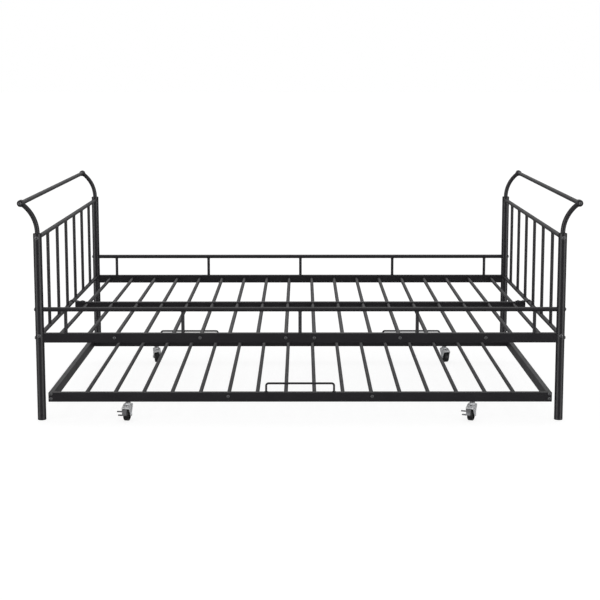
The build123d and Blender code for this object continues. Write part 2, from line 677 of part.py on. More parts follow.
def caster_axle():
    """The wheel's axle, with a round head outside each leg."""
    outer = FORK_GAP / 2 + FORK_PLATE
    axle = Cylinder(AXLE_DIAMETER / 2, 2 * outer)
    for side in SIDES:
        head = Cylinder(AXLE_HEAD / 2, AXLE_HEAD_HEIGHT, align=FROM_BASE)
        head = Pos(0, 0, outer) * fillet(head.edges().sort_by(Axis.Z)[-1], AXLE_HEAD_ROUNDING)
        axle += head if side > 0 else mirror(head, about=Plane.XY)
    return side_plane(0) * Pos(CASTER_TRAIL, WHEEL_DIAMETER / 2) * axle


def caster_wheel():
    """A wheel with a rounded tread, a recessed web and a hub that is wider than the tread."""
    tread = Cylinder(WHEEL_DIAMETER / 2, WHEEL_WIDTH)
    tread = fillet(tread.edges().filter_by(GeomType.CIRCLE), TREAD_ROUNDING)
    recess_depth = (WHEEL_WIDTH - WHEEL_WEB) / 2
    recess = Cylinder(WHEEL_DIAMETER / 2 - WHEEL_RIM, recess_depth, align=FROM_BASE)
    recess = Pos(0, 0, WHEEL_WEB / 2) * recess
    wheel = tread - recess - mirror(recess, about=Plane.XY)
    wheel += Cylinder(HUB_DIAMETER / 2, HUB_WIDTH)
    wheel -= Cylinder(AXLE_DIAMETER / 2 + FIT / 2, HUB_WIDTH)
    return side_plane(0) * Pos(CASTER_TRAIL, WHEEL_DIAMETER / 2) * wheel


def brake_pedal():
    """A foot brake: a strap behind the wheel that hangs from a cross pin and has two side tabs."""
    axle_x, axle_z = CASTER_TRAIL, WHEEL_DIAMETER / 2
    outer = BRAKE_STRAP_RADIUS + BRAKE_STRAP
    first, last = BRAKE_STRAP_SIDES
    ring = Circle(outer) - Circle(BRAKE_STRAP_RADIUS)
    to_pivot = BRAKE_PIVOT[0] - axle_x, BRAKE_PIVOT[1] - axle_z
    beyond_pivot = tuple(2 * length for length in to_pivot)
    sector = Polygon((0, 0), (2 * outer, 0), (2 * outer, 2 * outer), beyond_pivot, align=None)
    strap_outline = Pos(axle_x, axle_z) * (ring & sector)
    strap = side_plane(first) * extrude(strap_outline, first - last)
    barrel = cross_pin(*BRAKE_PIVOT, BRAKE_BARREL, FORK_GAP - 2 * END_GAP)
    pin = cross_pin(*BRAKE_PIVOT, BRAKE_PIN, FORK_GAP + 3 * FORK_PLATE)
    tabs = []
    for angle, width, tip in BRAKE_TABS:
        rise = BRAKE_STRAP_RADIUS * sin(radians(angle))
        reach = (outer**2 - rise**2) ** 0.5 - BRAKE_STRAP / 2
        length = BRAKE_TAB_ROOT - tip
        tab = Box(width, length, BRAKE_TAB, align=(Align.MAX, Align.MAX, Align.CENTER))
        tab = fillet(tab.faces().sort_by(Axis.Y)[0].edges().filter_by(Axis.Z), width / 3)
        tab = fillet(tab.faces().filter_by(Axis.Z).edges(), BRAKE_TAB / 4)
        tabs.append(Pos(axle_x + reach, BRAKE_TAB_ROOT, axle_z + rise) * tab)
    return strap + barrel + pin + tabs


def at_caster(piece, x_side, y, trail_angle):
    """Turns a caster piece to the way that its wheel trails, and puts it under its rail."""
    return Pos(x_side * CASTER_X, y, 0) * Rot(0, 0, -90 - trail_angle) * piece


def bed_nodes():
    """Every piece of the standing bed."""
    places = spread(BED_SLAT_COUNT, BED_SLAT_PITCH)
    corners = [(x_side, y_side) for x_side in SIDES for y_side in SIDES]
    lengthwise, ends = ((-1, "front"), (1, "back")), ((-1, "left"), (1, "right"))
    nodes = {}
    for y_side, row in lengthwise:
        for x_side, end in ends:
            nodes[f"post_{row}_{end}"] = [post(x_side, y_side)]
    nodes["post_glides"] = [Pos(x * POST_X, y * POST_Y, 0) * post_glide() for x, y in corners]
    nodes["post_collars"] = [
        Pos(x * POST_X, y * POST_Y, POST_TOP - COLLAR_FLANGE) * post_collar() for x, y in corners
    ]
    nodes["scroll_bosses"] = [boss_body(x, y, BOLT_HOLE) for x, y in corners]
    for x_side, end in ends:
        nodes[f"scroll_tubes_{end}"] = [scroll_tube(x_side, y_side) for y_side in SIDES]
        nodes[f"top_bar_{end}"] = [top_bar(x_side)]
        nodes[f"upper_cross_rail_{end}"] = [cross_rail(x_side, UPPER_CROSS_Z)]
        nodes[f"lower_cross_rail_{end}"] = [cross_rail(x_side, LOWER_CROSS_Z)]
        nodes[f"end_spindles_{end}"] = end_spindles(x_side)
    for y_side, row in lengthwise:
        nodes[f"side_rail_{row}"] = [side_rail(y_side)]
        nodes[f"guard_rail_{row}"] = [guard_rail(y_side)]
        nodes[f"guard_spindles_{row}"] = guard_spindles(y_side)
        outer_end = slat_end(y_side * POST_Y, y_side)
        inner_end = y_side * END_GAP
        nodes[f"slats_{row}_row"] = slat_row(places, inner_end, outer_end, BED_SLAT_Z)
    nodes["centre_rail"] = [centre_rail()]
    nodes["centre_rail_brackets"] = [centre_rail_bracket(x_side) for x_side in SIDES]
    nodes["rail_end_plugs"] = rail_end_plugs()
    nodes["slat_end_plugs"] = bed_slat_fasteners(slat_plugs)
    nodes["frame_bolts"] = frame_bolts()
    nodes["slat_bolts"] = bed_slat_fasteners(slat_bolts)
    nodes["bracket_bolts"] = bracket_bolts()
    return nodes


def trundle_nodes():
    """Every piece of the trundle's frame, without its casters."""
    places = spread(TRUNDLE_SLAT_COUNT, TRUNDLE_SLAT_PITCH)
    slat_ends = slat_end(TRUNDLE_FRONT_Y, -1), slat_end(TRUNDLE_BACK_Y, 1)
    stems = [(x_side, y, trail) for _, x_side, y, trail in CASTERS]
    return {
        "trundle_front_rail": [trundle_rail(TRUNDLE_FRONT_Y, -1)],
        "trundle_back_rail": [trundle_rail(TRUNDLE_BACK_Y, 1)],
        "trundle_side_rail_left": [trundle_side_rail(-1)],
        "trundle_side_rail_right": [trundle_side_rail(1)],
        "trundle_slats": slat_row(places, *slat_ends, TRUNDLE_SLAT_Z),
        "trundle_bolts": trundle_bolts(),
        "trundle_plugs": trundle_plugs(),
        "trundle_end_caps": trundle_end_caps(),
        "mattress_stop_front": [mattress_stop(0, TRUNDLE_FRONT_Y)],
        "mattress_stop_back_left": [mattress_stop(-BACK_STOP_X, TRUNDLE_BACK_Y)],
        "mattress_stop_back_right": [mattress_stop(BACK_STOP_X, TRUNDLE_BACK_Y)],
        "stop_grommets": stop_grommets(),
        "caster_stems": [at_caster(caster_stem(), *place) for place in stems],
        "caster_nuts": [at_caster(caster_nut(), *place) for place in stems],
    }


def caster_nodes():
    """The pieces that turn with each caster, and the front casters' brakes."""
    nodes = {}
    for name, x_side, y, trail in CASTERS:
        nodes[f"caster_fork_{name}"] = [at_caster(caster_fork(), x_side, y, trail)]
        nodes[f"caster_axle_{name}"] = [at_caster(caster_axle(), x_side, y, trail)]
        nodes[f"caster_wheel_{name}"] = [at_caster(caster_wheel(), x_side, y, trail)]
        if name.startswith("front"):
            nodes[f"brake_pedal_{name}"] = [at_caster(brake_pedal(), x_side, y, trail)]
    return nodes


os.makedirs("parts", exist_ok=True)
for node, pieces in {**bed_nodes(), **trundle_nodes(), **caster_nodes()}.items():
    solids = [solid for piece in pieces for solid in piece.solids()]
    shape = solids[0] if len(solids) == 1 else Compound(children=solids)
    export_step(shape, f"parts/{node}.step")
    print(node, len(solids))
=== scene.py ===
"""Looks of a black metal day bed with a trundle: smooth tubes, welds, bolts, casters and finishes.

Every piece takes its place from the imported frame, in metres and in the frame's own axes.
"""

import json
from math import asin, atan2, cos, pi, radians, sin, sqrt, tan

import bmesh
import bpy
from mathutils import Matrix, Vector, noise


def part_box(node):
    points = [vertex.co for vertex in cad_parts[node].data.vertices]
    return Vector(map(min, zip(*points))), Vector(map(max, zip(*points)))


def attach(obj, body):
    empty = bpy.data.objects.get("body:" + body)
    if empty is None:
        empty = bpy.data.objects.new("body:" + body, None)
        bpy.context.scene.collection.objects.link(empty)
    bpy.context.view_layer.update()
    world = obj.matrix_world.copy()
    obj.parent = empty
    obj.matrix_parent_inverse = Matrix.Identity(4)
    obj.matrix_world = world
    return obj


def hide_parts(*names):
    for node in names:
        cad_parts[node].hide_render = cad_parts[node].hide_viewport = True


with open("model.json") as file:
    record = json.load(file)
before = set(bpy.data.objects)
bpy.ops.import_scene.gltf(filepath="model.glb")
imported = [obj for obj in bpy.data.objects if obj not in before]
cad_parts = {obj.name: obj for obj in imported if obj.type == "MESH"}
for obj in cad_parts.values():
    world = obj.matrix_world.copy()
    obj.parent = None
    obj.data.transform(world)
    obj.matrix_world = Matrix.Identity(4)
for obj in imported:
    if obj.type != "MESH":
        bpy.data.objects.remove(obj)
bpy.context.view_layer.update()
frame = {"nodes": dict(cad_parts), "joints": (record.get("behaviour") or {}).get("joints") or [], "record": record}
BODIES = frame["record"]["behaviour"]["bodies"]
BODY_OF = {node: body for body, nodes in BODIES.items() for node in nodes}
SLOT_OF = {part["node"]: part["material_slot"] for part in frame["record"]["subparts"]}
JOINTS = {joint["name"]: joint for joint in frame["joints"]}
ENDS = ("left", "right")
ROWS = ("front", "back")
CASTERS = ("front_left", "front_right", "back_left", "back_right")
X, Y, Z = Vector((1, 0, 0)), Vector((0, 1, 0)), Vector((0, 0, 1))

# ---- Meshes ----
TUBE_SIDES = 32
WIRE_SIDES = 24
CURL_SIDES = 36
BAR_SIDES = 40
POST_SIDES = 64
TURNED_SIDES = 48
HEAD_SIDES = 24
AXLE_SIDES = 40
WHEEL_SIDES = 96
SAME_POINT = 1e-6  # points closer than this are one
ORDER_DIGITS = 4  # solids are put in order by places to a tenth of a millimetre
SHARP_ANGLE = radians(40)  # between two faces, from which their edge shows
STEEP = 0.9  # a direction this close to X takes its side from Y
AXIS = 0.0003  # radius at which a turned end closes
LIP = 0.0004  # softened edge of a cut tube
LIP_SHRINK = 0.93  # size of a swept piece's softened end, beside its section
NOISE_LOW, NOISE_HIGH = 0.3, 0.7  # most noise values lie between these

# ---- Sizes that a node's box doesn't give: tubes, rails and welds ----
TUBE_WALL = 0.0015
RAIL_WALL = 0.0012
RAIL_CORNER = 0.002
CAP_ROUNDING = 0.001
CAP_STEPS = 5
WELD = 0.0013  # half thickness of a weld bead
BEAD_STEPS = 40
BEAD_SIDES = 8
BEAD_WAVE = 0.18  # share of the bead's thickness
BEAD_WAVES = 13
BEAD_ROUGHNESS = 0.25
BEAD_GRAIN = 400
FOOT_SEED = 20  # tells the welds at the spindles' feet from those at their tops
ROOT_SEED = 3  # tells a curled tube's lower weld from its upper one

# ---- Posts, curled ends and brackets ----
COLLAR_GROOVE = 0.0022  # the closed top of a post lies this far below its rim
COLLAR_RIM = 0.0016
GLIDE_ROUNDING = 0.001
GLIDE_PLUG = 0.8  # radius beside the post's
BOSS_ROUNDING = 0.006
CURL_STEPS = 24
BRACKET_PLATE = 0.003
BRACKET_WIDTH = 0.018
BRACKET_LIP = 0.006
BRACKET_ROUNDING = 0.0006
BRACKET_STEPS = 16

# ---- Bolts and trundle fittings ----
BOLT_HEAD = 0.006  # radius
BOLT_HEIGHT = 0.0033
BOLT_ROUNDING = 0.0022
BOLT_MOUTH = 0.0034  # radius of the flat round the socket
BOLT_SOCKET = 0.0023
SOCKET_EDGE = 0.0001
SOCKET_CHAMFER = 0.0006
SOCKET_FLOOR = 0.0013  # above the head's seat
RIM_SHARE = 0.97  # points this far out are on the rim of a bolt's head
WASHER = 0.0072
WASHER_BORE = 0.0040
WASHER_PLATE = 0.0006
WASHER_SIDES = 32
WIRE_BEND = 0.009
GROMMET_ROUNDING = 0.001
NUT_PLAY = 0.0002
NUT_CHAMFER = 0.0008
NUT_FOOT = 1.02  # reach of the chamfer's small end, beside the nut's flats
NUT_CORNER = 1.12
NUT_WASHER = 0.0012
NUT_WASHER_REACH = 1.14
STEM_RADIUS = 0.005
STEM_HEAD = 0.003  # height
STEM_SHOULDER = 0.0001
THREAD_START = 0.001  # above the head
THREAD_PITCH = 0.0015
THREAD_DEPTH = 0.0007

# ---- Casters ----
HUB_WIDTH = 0.026
HUB_RADIUS = 0.008
WHEEL_WIDTH = 0.020
WHEEL_RIM = 0.006
WHEEL_WEB = 0.010
WHEEL_PLAY = 0.0001
WHEEL_DRAFT = 0.0006
HUB_FILLET = 0.001
RIM_FILLET = 0.0015
TREAD_ROUNDING = 0.0035
RIBS = 8
RIB_OVERLAP = 0.001
RIB_INSET = 0.0022  # from the side of the tread
RIB_FOOT = 0.0012  # half thickness
RIB_EDGE = 0.0008
AXLE_RADIUS = 0.004
AXLE_START = 0.001  # from the wheel's middle
AXLE_REACH = 0.0155  # from the wheel's middle to the outside of a fork leg
AXLE_HEAD = 0.0065
AXLE_HEAD_HEIGHT = 0.0035
AXLE_HEAD_SEAT = 0.0003
AXLE_HEAD_EDGE = (0.0006, 0.0012)  # depth and rounding
AXLE_DIMPLE = ((0.0034, 0, 0.0008), (0.0026, 0.0012, 0.0005), (AXIS, 0.0015, 0))  # radius, depth, rounding
CROWN_SLOPE = radians(20)
FORK_DOME = 0.0035  # height of the bearing's dome above a fork's crown
# A dark rivet-shaped dome on each fork's crown: painted reflection, a dark spot that stands for a dark reflection
# there
PAINTED_SPOT = 0.0032
PAINTED_SPOT_SINK = 0.001
PAINTED_SPOT_EDGE = 0.0016
PAINTED_SPOT_ROUNDING = 0.0014
PAINTED_SPOT_TOP = 0.0019
PAINTED_SPOT_BACK = 0.0185  # from the swivel axis
PAINTED_SPOT_DROP = 0.0035
FORK_EDGE = 0.0004
BRAKE_EDGE = 0.0003
BEVEL_ANGLE = radians(35)

# ---- Studio ----
WHITE = (1, 1, 1, 1)
FLOOR_REACH = 60
FLOOR_DEPTH = 0.02
FLOOR_GLOW = 0.84
FLOOR_SHADE = 0.25
FLOOR_SHEEN = 0.1
LAMP_STRENGTH = 0.7
LAMP_SPREAD = radians(60)
LAMP_TILT = radians(20)  # from straight above, towards the back
SKY_BELOW = 0.18
SKY_ABOVE = 0.55
SKY_RISE = (-0.05, 0.35)  # heights between which the sky brightens, where 1 is straight above
BOX_ANGLE = radians(55)  # from straight in front to the middle of each soft box
BOX_CORE = radians(10)
BOX_EDGE = radians(26)
BOX_STRENGTH = 2.6
EYE = (0.0062, -5.6276, 1.3255)
EYE_PITCH = 7.42  # degrees below level
EYE_ROLL = 0.036
EYE_YAW = 0.068
LENS = 80.22
SENSOR = 36
SHIFT = -0.1
CLIP_END = 200


# ---- Mesh helpers ----
def soften(corners, loop=False, steps=5):
    """Points of an outline whose corners are (*place, rounding), in 2 or 3 dimensions."""
    places = [Vector(corner[:-1]) for corner in corners]
    points = []
    for index, (*_, rounding) in enumerate(corners):
        here = places[index]
        is_end = not loop and index in (0, len(corners) - 1)
        if rounding == 0 or is_end:
            points.append(here)
            continue
        back = (places[index - 1] - here).normalized()
        ahead = (places[(index + 1) % len(places)] - here).normalized()
        half = back.angle(ahead) / 2
        centre = here + (back + ahead).normalized() * rounding / sin(half)
        first = here + back * rounding / tan(half) - centre
        last = here + ahead * rounding / tan(half) - centre
        turns = [first.slerp(last, step / steps).normalized() for step in range(steps + 1)]
        points += [centre + turn * rounding for turn in turns]
    return points


def rounded_rectangle(wide, tall, rounding, steps=5):
    """The outline of a rectangle with rounded corners, from half its width and half its height."""
    corners = [(wide, tall), (-wide, tall), (-wide, -tall), (wide, -tall)]
    return soften([(*corner, rounding) for corner in corners], loop=True, steps=steps)


def skin(mesh, rings, loop=False):
    """Joins rings of points with faces. loop joins the last ring to the first; else both are closed."""
    rows = [[mesh.verts.new(point) for point in ring] for ring in rings]
    pairs = list(zip(rows, rows[1:]))
    if loop:
        pairs.append((rows[-1], rows[0]))
    else:
        mesh.faces.new(rows[0])
        mesh.faces.new(rows[-1])
    for one, other in pairs:
        for i in range(len(one)):
            mesh.faces.new((one[i - 1], one[i], other[i], other[i - 1]))


def circle(radius, count):
    """Points of a circle about the origin, or of any outline whose radius is a function of the angle."""
    turns = [2 * pi * i / count for i in range(count)]
    reach = radius if callable(radius) else lambda turn: radius
    return [Vector((reach(turn) * cos(turn), reach(turn) * sin(turn))) for turn in turns]


def hexagon(apothem, cut=1.0):
    """A hexagon's radius by angle, with its corners cut off by a circle of radius cut."""
    def reach(turn):
        return min(cut, apothem / cos((turn + pi / 6) % (pi / 3) - pi / 6))
    return reach


def stand(place, direction, side=None):
    """The matrix that puts a piece's Z along direction at place, with its X along side if given."""
    up = Vector(direction).normalized()
    if side is None:
        side = X if abs(up.x) < STEEP else Y
    across = (side - up * side.dot(up)).normalized()
    turned = Matrix((across, up.cross(across), up)).transposed().to_4x4()
    return Matrix.Translation(place) @ turned


def lathe(mesh, profile, place, count=TUBE_SIDES, loop=False):
    """Turns a profile of (radius, height) points about its Z. A radius may be a function of the angle."""
    rings = []
    for radius, height in profile:
        lift = place.to_3x3() @ Z * height
        rings.append([place @ point.to_3d() + lift for point in circle(radius, count)])
    skin(mesh, rings, loop)


def sweep(mesh, path, section, across, lip=0.0):
    """Carries a flat section along a path in the plane whose normal is across. lip softens the ends."""
    rings = []
    last = len(path) - 1
    for index, point in enumerate(path):
        tangent = (path[min(index + 1, last)] - path[max(index - 1, 0)]).normalized()
        side = tangent.cross(across)
        rings.append([point + across * u + side * v for u, v in section])
    if lip:
        ends = [(rings[0], path[0], path[1]), (rings[-1], path[-1], path[-2])]
        for ring, point, inner in ends:
            outward = (point - inner).normalized() * lip
            shrunk = [point + (corner - point) * LIP_SHRINK + outward for corner in ring]
            rings = [shrunk] + rings if ring is rings[0] else rings + [shrunk]
    skin(mesh, rings)


def box_of(points):
    """Lowest and highest corner of some points."""
    low = Vector([min(point[i] for point in points) for i in range(3)])
    high = Vector([max(point[i] for point in points) for i in range(3)])
    return low, high


def solids(node):
    """The points of each separate solid of a CAD node, in order along the frame's axes."""
    mesh = bmesh.new()
    mesh.from_mesh(frame["nodes"][node].data)
    bmesh.ops.remove_doubles(mesh, verts=mesh.verts, dist=SAME_POINT)
    found = []
    for seed in mesh.verts:
        if seed.tag:
            continue
        seed.tag = True
        waiting, island = [seed], []
        while waiting:
            vertex = waiting.pop()
            island.append(vertex.co.copy())
            for edge in vertex.link_edges:
                other = edge.other_vert(vertex)
                if not other.tag:
                    other.tag = True
                    waiting.append(other)
        found.append(island)
    mesh.free()

    def order(island):
        return tuple(round(v, ORDER_DIGITS) for v in sum(box_of(island), Vector()))

    return sorted(found, key=order)


def boxes(node):
    """The box of each separate solid of a CAD node."""
    return [box_of(island) for island in solids(node)]


def lengthwise(low, high):
    """The middle of a box's low end, the direction across its squarest section and its length."""
    size = high - low
    axis = min(range(3), key=lambda i: abs(size[i - 1] - size[i - 2]))
    start = (low + high) / 2
    start[axis] = low[axis]
    return start, (X, Y, Z)[axis], size[axis]


def even_shading(piece):
    """Shades wide faces flat and lets only their narrow rounded edges turn."""
    even = piece.modifiers.new("even_shading", "WEIGHTED_NORMAL")
    even.keep_sharp = True


def make(name, mesh, slot, body, *nodes):
    """A piece from a mesh, with its slot's finish, that rides on a body and stands for CAD nodes."""
    bmesh.ops.recalc_face_normals(mesh, faces=mesh.faces)
    data = bpy.data.meshes.new(name)
    mesh.to_mesh(data)
    mesh.free()
    data.shade_smooth()
    data.set_sharp_from_angle(angle=SHARP_ANGLE)
    data.materials.append(FINISHES[slot])
    piece = bpy.data.objects.new(name, data)
    bpy.context.scene.collection.objects.link(piece)
    even_shading(piece)
    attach(piece, body)
    if nodes:
        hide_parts(*nodes)


def stand_for(node, mesh):
    """A piece that replaces one CAD node, with its body and its slot."""
    make(f"{node}_made", mesh, SLOT_OF[node], BODY_OF[node], node)


# ---- Finishes ----
def new_finish(name, colour, roughness, metallic=0.0):
    """A Principled material, its nodes, and noise coordinates that keep to the piece."""
    finish = bpy.data.materials.new(name)
    finish.use_nodes = True
    nodes = finish.node_tree.nodes
    shader = nodes["Principled BSDF"]
    shader.inputs["Base Color"].default_value = (*colour, 1)
    shader.inputs["Metallic"].default_value = metallic
    shader.inputs["Roughness"].default_value = roughness
    place = nodes.new("ShaderNodeTexCoord").outputs["Object"]
    return finish, shader, place


def grain(finish, place, scale, detail=2.0, stretch=(1, 1, 1)):
    """A noise value at so many features a metre, stretched along the axes if asked."""
    tree = finish.node_tree
    mapping = tree.nodes.new("ShaderNodeMapping")
    mapping.inputs["Scale"].default_value = stretch
    tree.links.new(place, mapping.inputs["Vector"])
    pattern = tree.nodes.new("ShaderNodeTexNoise")
    pattern.inputs["Scale"].default_value = scale
    pattern.inputs["Detail"].default_value = detail
    tree.links.new(mapping.outputs["Vector"], pattern.inputs["Vector"])
    return pattern.outputs["Fac"]


def vary(finish, value, target, low, high):
    """Drives a shader input from low to high by a noise value."""
    ranged = finish.node_tree.nodes.new("ShaderNodeMapRange")
    ranged.inputs["From Min"].default_value = NOISE_LOW
    ranged.inputs["From Max"].default_value = NOISE_HIGH
    ranged.inputs["To Min"].default_value = low
    ranged.inputs["To Max"].default_value = high
    finish.node_tree.links.new(value, ranged.inputs["Value"])
    finish.node_tree.links.new(ranged.outputs["Result"], target)


def tint(finish, value, shader, dark, light):
    """Drives the base colour between two colours by a noise value."""
    ramp = finish.node_tree.nodes.new("ShaderNodeValToRGB")
    ramp.color_ramp.elements[0].position = NOISE_LOW
    ramp.color_ramp.elements[0].color = (*dark, 1)
    ramp.color_ramp.elements[1].position = NOISE_HIGH
    ramp.color_ramp.elements[1].color = (*light, 1)
    finish.node_tree.links.new(value, ramp.inputs["Fac"])
    finish.node_tree.links.new(ramp.outputs["Color"], shader.inputs["Base Color"])


def relief(finish, shader, layers):
    """Adds bumps one over another: each layer is (value, strength, height in metres)."""
    tree = finish.node_tree
    before = None
    for value, strength, height in layers:
        bump = tree.nodes.new("ShaderNodeBump")
        bump.inputs["Strength"].default_value = strength
        bump.inputs["Distance"].default_value = height
        tree.links.new(value, bump.inputs["Height"])
        if before is not None:
            tree.links.new(before, bump.inputs["Normal"])
        before = bump.outputs["Normal"]
    tree.links.new(before, shader.inputs["Normal"])


def powder_coat():
    """Satin black powder coat: orange peel, fine specks in tone and a faint cloudiness in gloss."""
    finish, shader, place = new_finish("black_powder_coat", (0.0155, 0.0145, 0.0175), roughness=0.38)
    clouds = grain(finish, place, scale=14, detail=3)
    speck = grain(finish, place, scale=2400, detail=1)
    tint(finish, speck, shader, dark=(0.011, 0.010, 0.0125), light=(0.017, 0.0155, 0.019))
    vary(finish, clouds, shader.inputs["Roughness"], low=0.33, high=0.42)
    peel = grain(finish, place, scale=700, detail=2)
    relief(finish, shader, [(peel, 0.25, 0.00012), (speck, 0.2, 0.00004)])
    return finish


def black_oxide():
    """Blackened steel hardware: a little lighter than the paint, with a sheen and rubbed spots."""
    finish, shader, place = new_finish("black_oxide_steel", (0.17, 0.17, 0.18), roughness=0.36, metallic=0.8)
    rubbed = grain(finish, place, scale=900, detail=4)
    tint(finish, rubbed, shader, dark=(0.12, 0.12, 0.125), light=(0.26, 0.26, 0.27))
    vary(finish, grain(finish, place, scale=260, detail=2), shader.inputs["Roughness"], low=0.28, high=0.44)
    relief(finish, shader, [(rubbed, 0.2, 0.00005)])
    return finish


def plain_steel():
    """Turned steel with fine tool marks."""
    finish, shader, place = new_finish("plain_steel", (0.42, 0.42, 0.43), roughness=0.38, metallic=1.0)
    marks = grain(finish, place, scale=500, detail=3, stretch=(1, 6, 1))
    tint(finish, marks, shader, dark=(0.36, 0.36, 0.37), light=(0.50, 0.50, 0.51))
    relief(finish, shader, [(marks, 0.3, 0.00004)])
    return finish


def zinc_plate():
    """Bright zinc on pressed steel: small pale and dull patches, fine scratches and a soft gloss."""
    finish, shader, place = new_finish("zinc_plate", (0.86, 0.88, 0.90), roughness=0.4, metallic=0.45)
    patches = grain(finish, place, scale=160, detail=4)
    scratches = grain(finish, place, scale=900, detail=3, stretch=(1, 1, 0.15))
    tint(finish, patches, shader, dark=(0.74, 0.76, 0.78), light=(0.95, 0.95, 0.96))
    vary(finish, scratches, shader.inputs["Roughness"], low=0.32, high=0.48)
    relief(finish, shader, [(patches, 0.15, 0.00015), (scratches, 0.2, 0.00003)])
    return finish


def wheel_nylon():
    """Black nylon with a slight gloss, dulled where the tread rolls."""
    finish, shader, place = new_finish("wheel_nylon", (0.008, 0.008, 0.009), roughness=0.3)
    scuffs = grain(finish, place, scale=420, detail=5)
    tint(finish, scuffs, shader, dark=(0.006, 0.006, 0.007), light=(0.014, 0.014, 0.015))
    vary(finish, scuffs, shader.inputs["Roughness"], low=0.22, high=0.42)
    relief(finish, shader, [(grain(finish, place, scale=1500, detail=2), 0.15, 0.00004)])
    return finish


def black_plastic():
    """Moulded black plastic with a fine even grain."""
    finish, shader, place = new_finish("black_plastic", (0.014, 0.014, 0.015), roughness=0.55)
    texture = grain(finish, place, scale=1800, detail=2)
    cast = grain(finish, place, scale=60, detail=2)
    tint(finish, cast, shader, dark=(0.011, 0.011, 0.012), light=(0.018, 0.018, 0.019))
    vary(finish, texture, shader.inputs["Roughness"], low=0.48, high=0.62)
    relief(finish, shader, [(texture, 0.3, 0.00006)])
    return finish


FINISHES = {
    "black_powder_coat": powder_coat(),
    "black_oxide_steel": black_oxide(),
    "plain_steel": plain_steel(),
    "zinc_plate": zinc_plate(),
    "wheel_nylon": wheel_nylon(),
    "black_plastic": black_plastic(),
}


# ---- Tubes and rails ----
def tube(mesh, low, high, count=TUBE_SIDES):
    """A hollow round tube that fills a box."""
    start, direction, length = lengthwise(low, high)
    radius = min(high - low) / 2
    bore = radius - TUBE_WALL
    corners = [(radius, 0), (radius, length), (bore, length), (bore, 0)]
    profile = soften([(*corner, LIP) for corner in corners], loop=True, steps=2)
    lathe(mesh, profile, stand(start, direction), count, loop=True)


def rail_ring(low, high, inset, end):
    """A ring of points round a rectangular rail, inset from its faces and at one place along it."""
    start, direction, _ = lengthwise(low, high)
    half = (high - low) / 2
    across = X if direction == Y else Y
    wide, tall = half.dot(across) - inset, half.z - inset
    outline = rounded_rectangle(wide, tall, max(RAIL_CORNER - inset, LIP), steps=6)
    middle = start + direction * end
    return [middle + across * u + Z * v for u, v in outline]


def rail(mesh, low, high):
    """A hollow rectangular rail with rounded corners that fills a box."""
    length = lengthwise(low, high)[2]
    steps = [
        (0, LIP), (0, length - LIP), (LIP, length), (RAIL_WALL - LIP, length),
        (RAIL_WALL, length - LIP), (RAIL_WALL, LIP), (RAIL_WALL - LIP, 0), (LIP, 0),
    ]
    skin(mesh, [rail_ring(low, high, inset, end) for inset, end in steps], loop=True)


def rebuild(node, shape, **options):
    """Replaces every solid of a CAD node by the same shape in a smooth mesh."""
    mesh = bmesh.new()
    for low, high in boxes(node):
        shape(mesh, low, high, **options)
    stand_for(node, mesh)


def end_cap(mesh, low, high):
    """A plastic cap over a rail's end, with a rounded outer edge."""
    middle = (low + high) / 2
    outer = 1 if middle.x > 0 else -1
    plate_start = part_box("trundle_front_rail")[1 if outer > 0 else 0].x
    reach = (high if outer > 0 else low).x
    depth = abs(reach - plate_start)
    size = Vector((depth, high.y - low.y, high.z - low.z))
    rings = []
    for step in range(CAP_STEPS + 1):
        turn = step / CAP_STEPS * pi / 2
        inset = CAP_ROUNDING * (1 - cos(turn))
        x = plate_start + outer * (depth - CAP_ROUNDING + CAP_ROUNDING * sin(turn))
        rings.append(cap_ring(middle, size, inset, x))
    skin(mesh, [cap_ring(middle, size, 0, plate_start)] + rings)


def cap_ring(middle, size, inset, x):
    """A rounded rectangle across the bed's length at x."""
    outline = rounded_rectangle(size.y / 2 - inset, size.z / 2 - inset, RAIL_CORNER - inset / 2)
    return [Vector((x, middle.y + u, middle.z + v)) for u, v in outline]


# ---- Welds ----
def bead(mesh, centre, axis, radius, round_radius, along, seed):
    """A weld bead round a tube that stands on a round bar, or on a flat face if round_radius is 0."""
    rings = []
    around = [2 * pi * i / BEAD_SIDES for i in range(BEAD_SIDES)]
    side = axis.cross(along).normalized()
    for i in range(BEAD_STEPS):
        turn = 2 * pi * i / BEAD_STEPS
        outward = side * cos(turn) + along * sin(turn)
        rise = sqrt(max(round_radius**2 - (radius * cos(turn)) ** 2, 0)) if round_radius else 0
        middle = centre + outward * radius + axis * rise
        wave = BEAD_WAVE * sin(BEAD_WAVES * turn + seed)
        size = WELD * (1 + wave + BEAD_ROUGHNESS * noise.noise(middle * BEAD_GRAIN))
        rings.append([middle + outward * size * cos(a) + axis * size * sin(a) for a in around])
    skin(mesh, rings, loop=True)


def spindle_welds():
    """Beads where each spindle meets the rail below it and the one above it."""
    joins = []
    for end in ENDS:
        joins.append((f"end_spindles_{end}", f"lower_cross_rail_{end}", f"upper_cross_rail_{end}", Y))
    for row in ROWS:
        joins.append((f"guard_spindles_{row}", None, f"guard_rail_{row}", X))
    for spindles, under, over, along in joins:
        mesh = bmesh.new()
        over_low, over_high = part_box(over)
        for index, (low, high) in enumerate(boxes(spindles)):
            radius = (high.x - low.x) / 2
            middle = (low + high) / 2
            top = Vector((middle.x, middle.y, (over_low.z + over_high.z) / 2))
            bead(mesh, top, -Z, radius, (over_high.z - over_low.z) / 2, along, index)
            if under:
                under_low, under_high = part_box(under)
                foot = Vector((middle.x, middle.y, (under_low.z + under_high.z) / 2))
                bead(mesh, foot, Z, radius, (under_high.z - under_low.z) / 2, along, index + FOOT_SEED)
            else:
                bead(mesh, Vector((middle.x, middle.y, low.z)), Z, radius, 0, along, index + FOOT_SEED)
        make(f"{spindles}_welds", mesh, "black_powder_coat", "bed_frame")


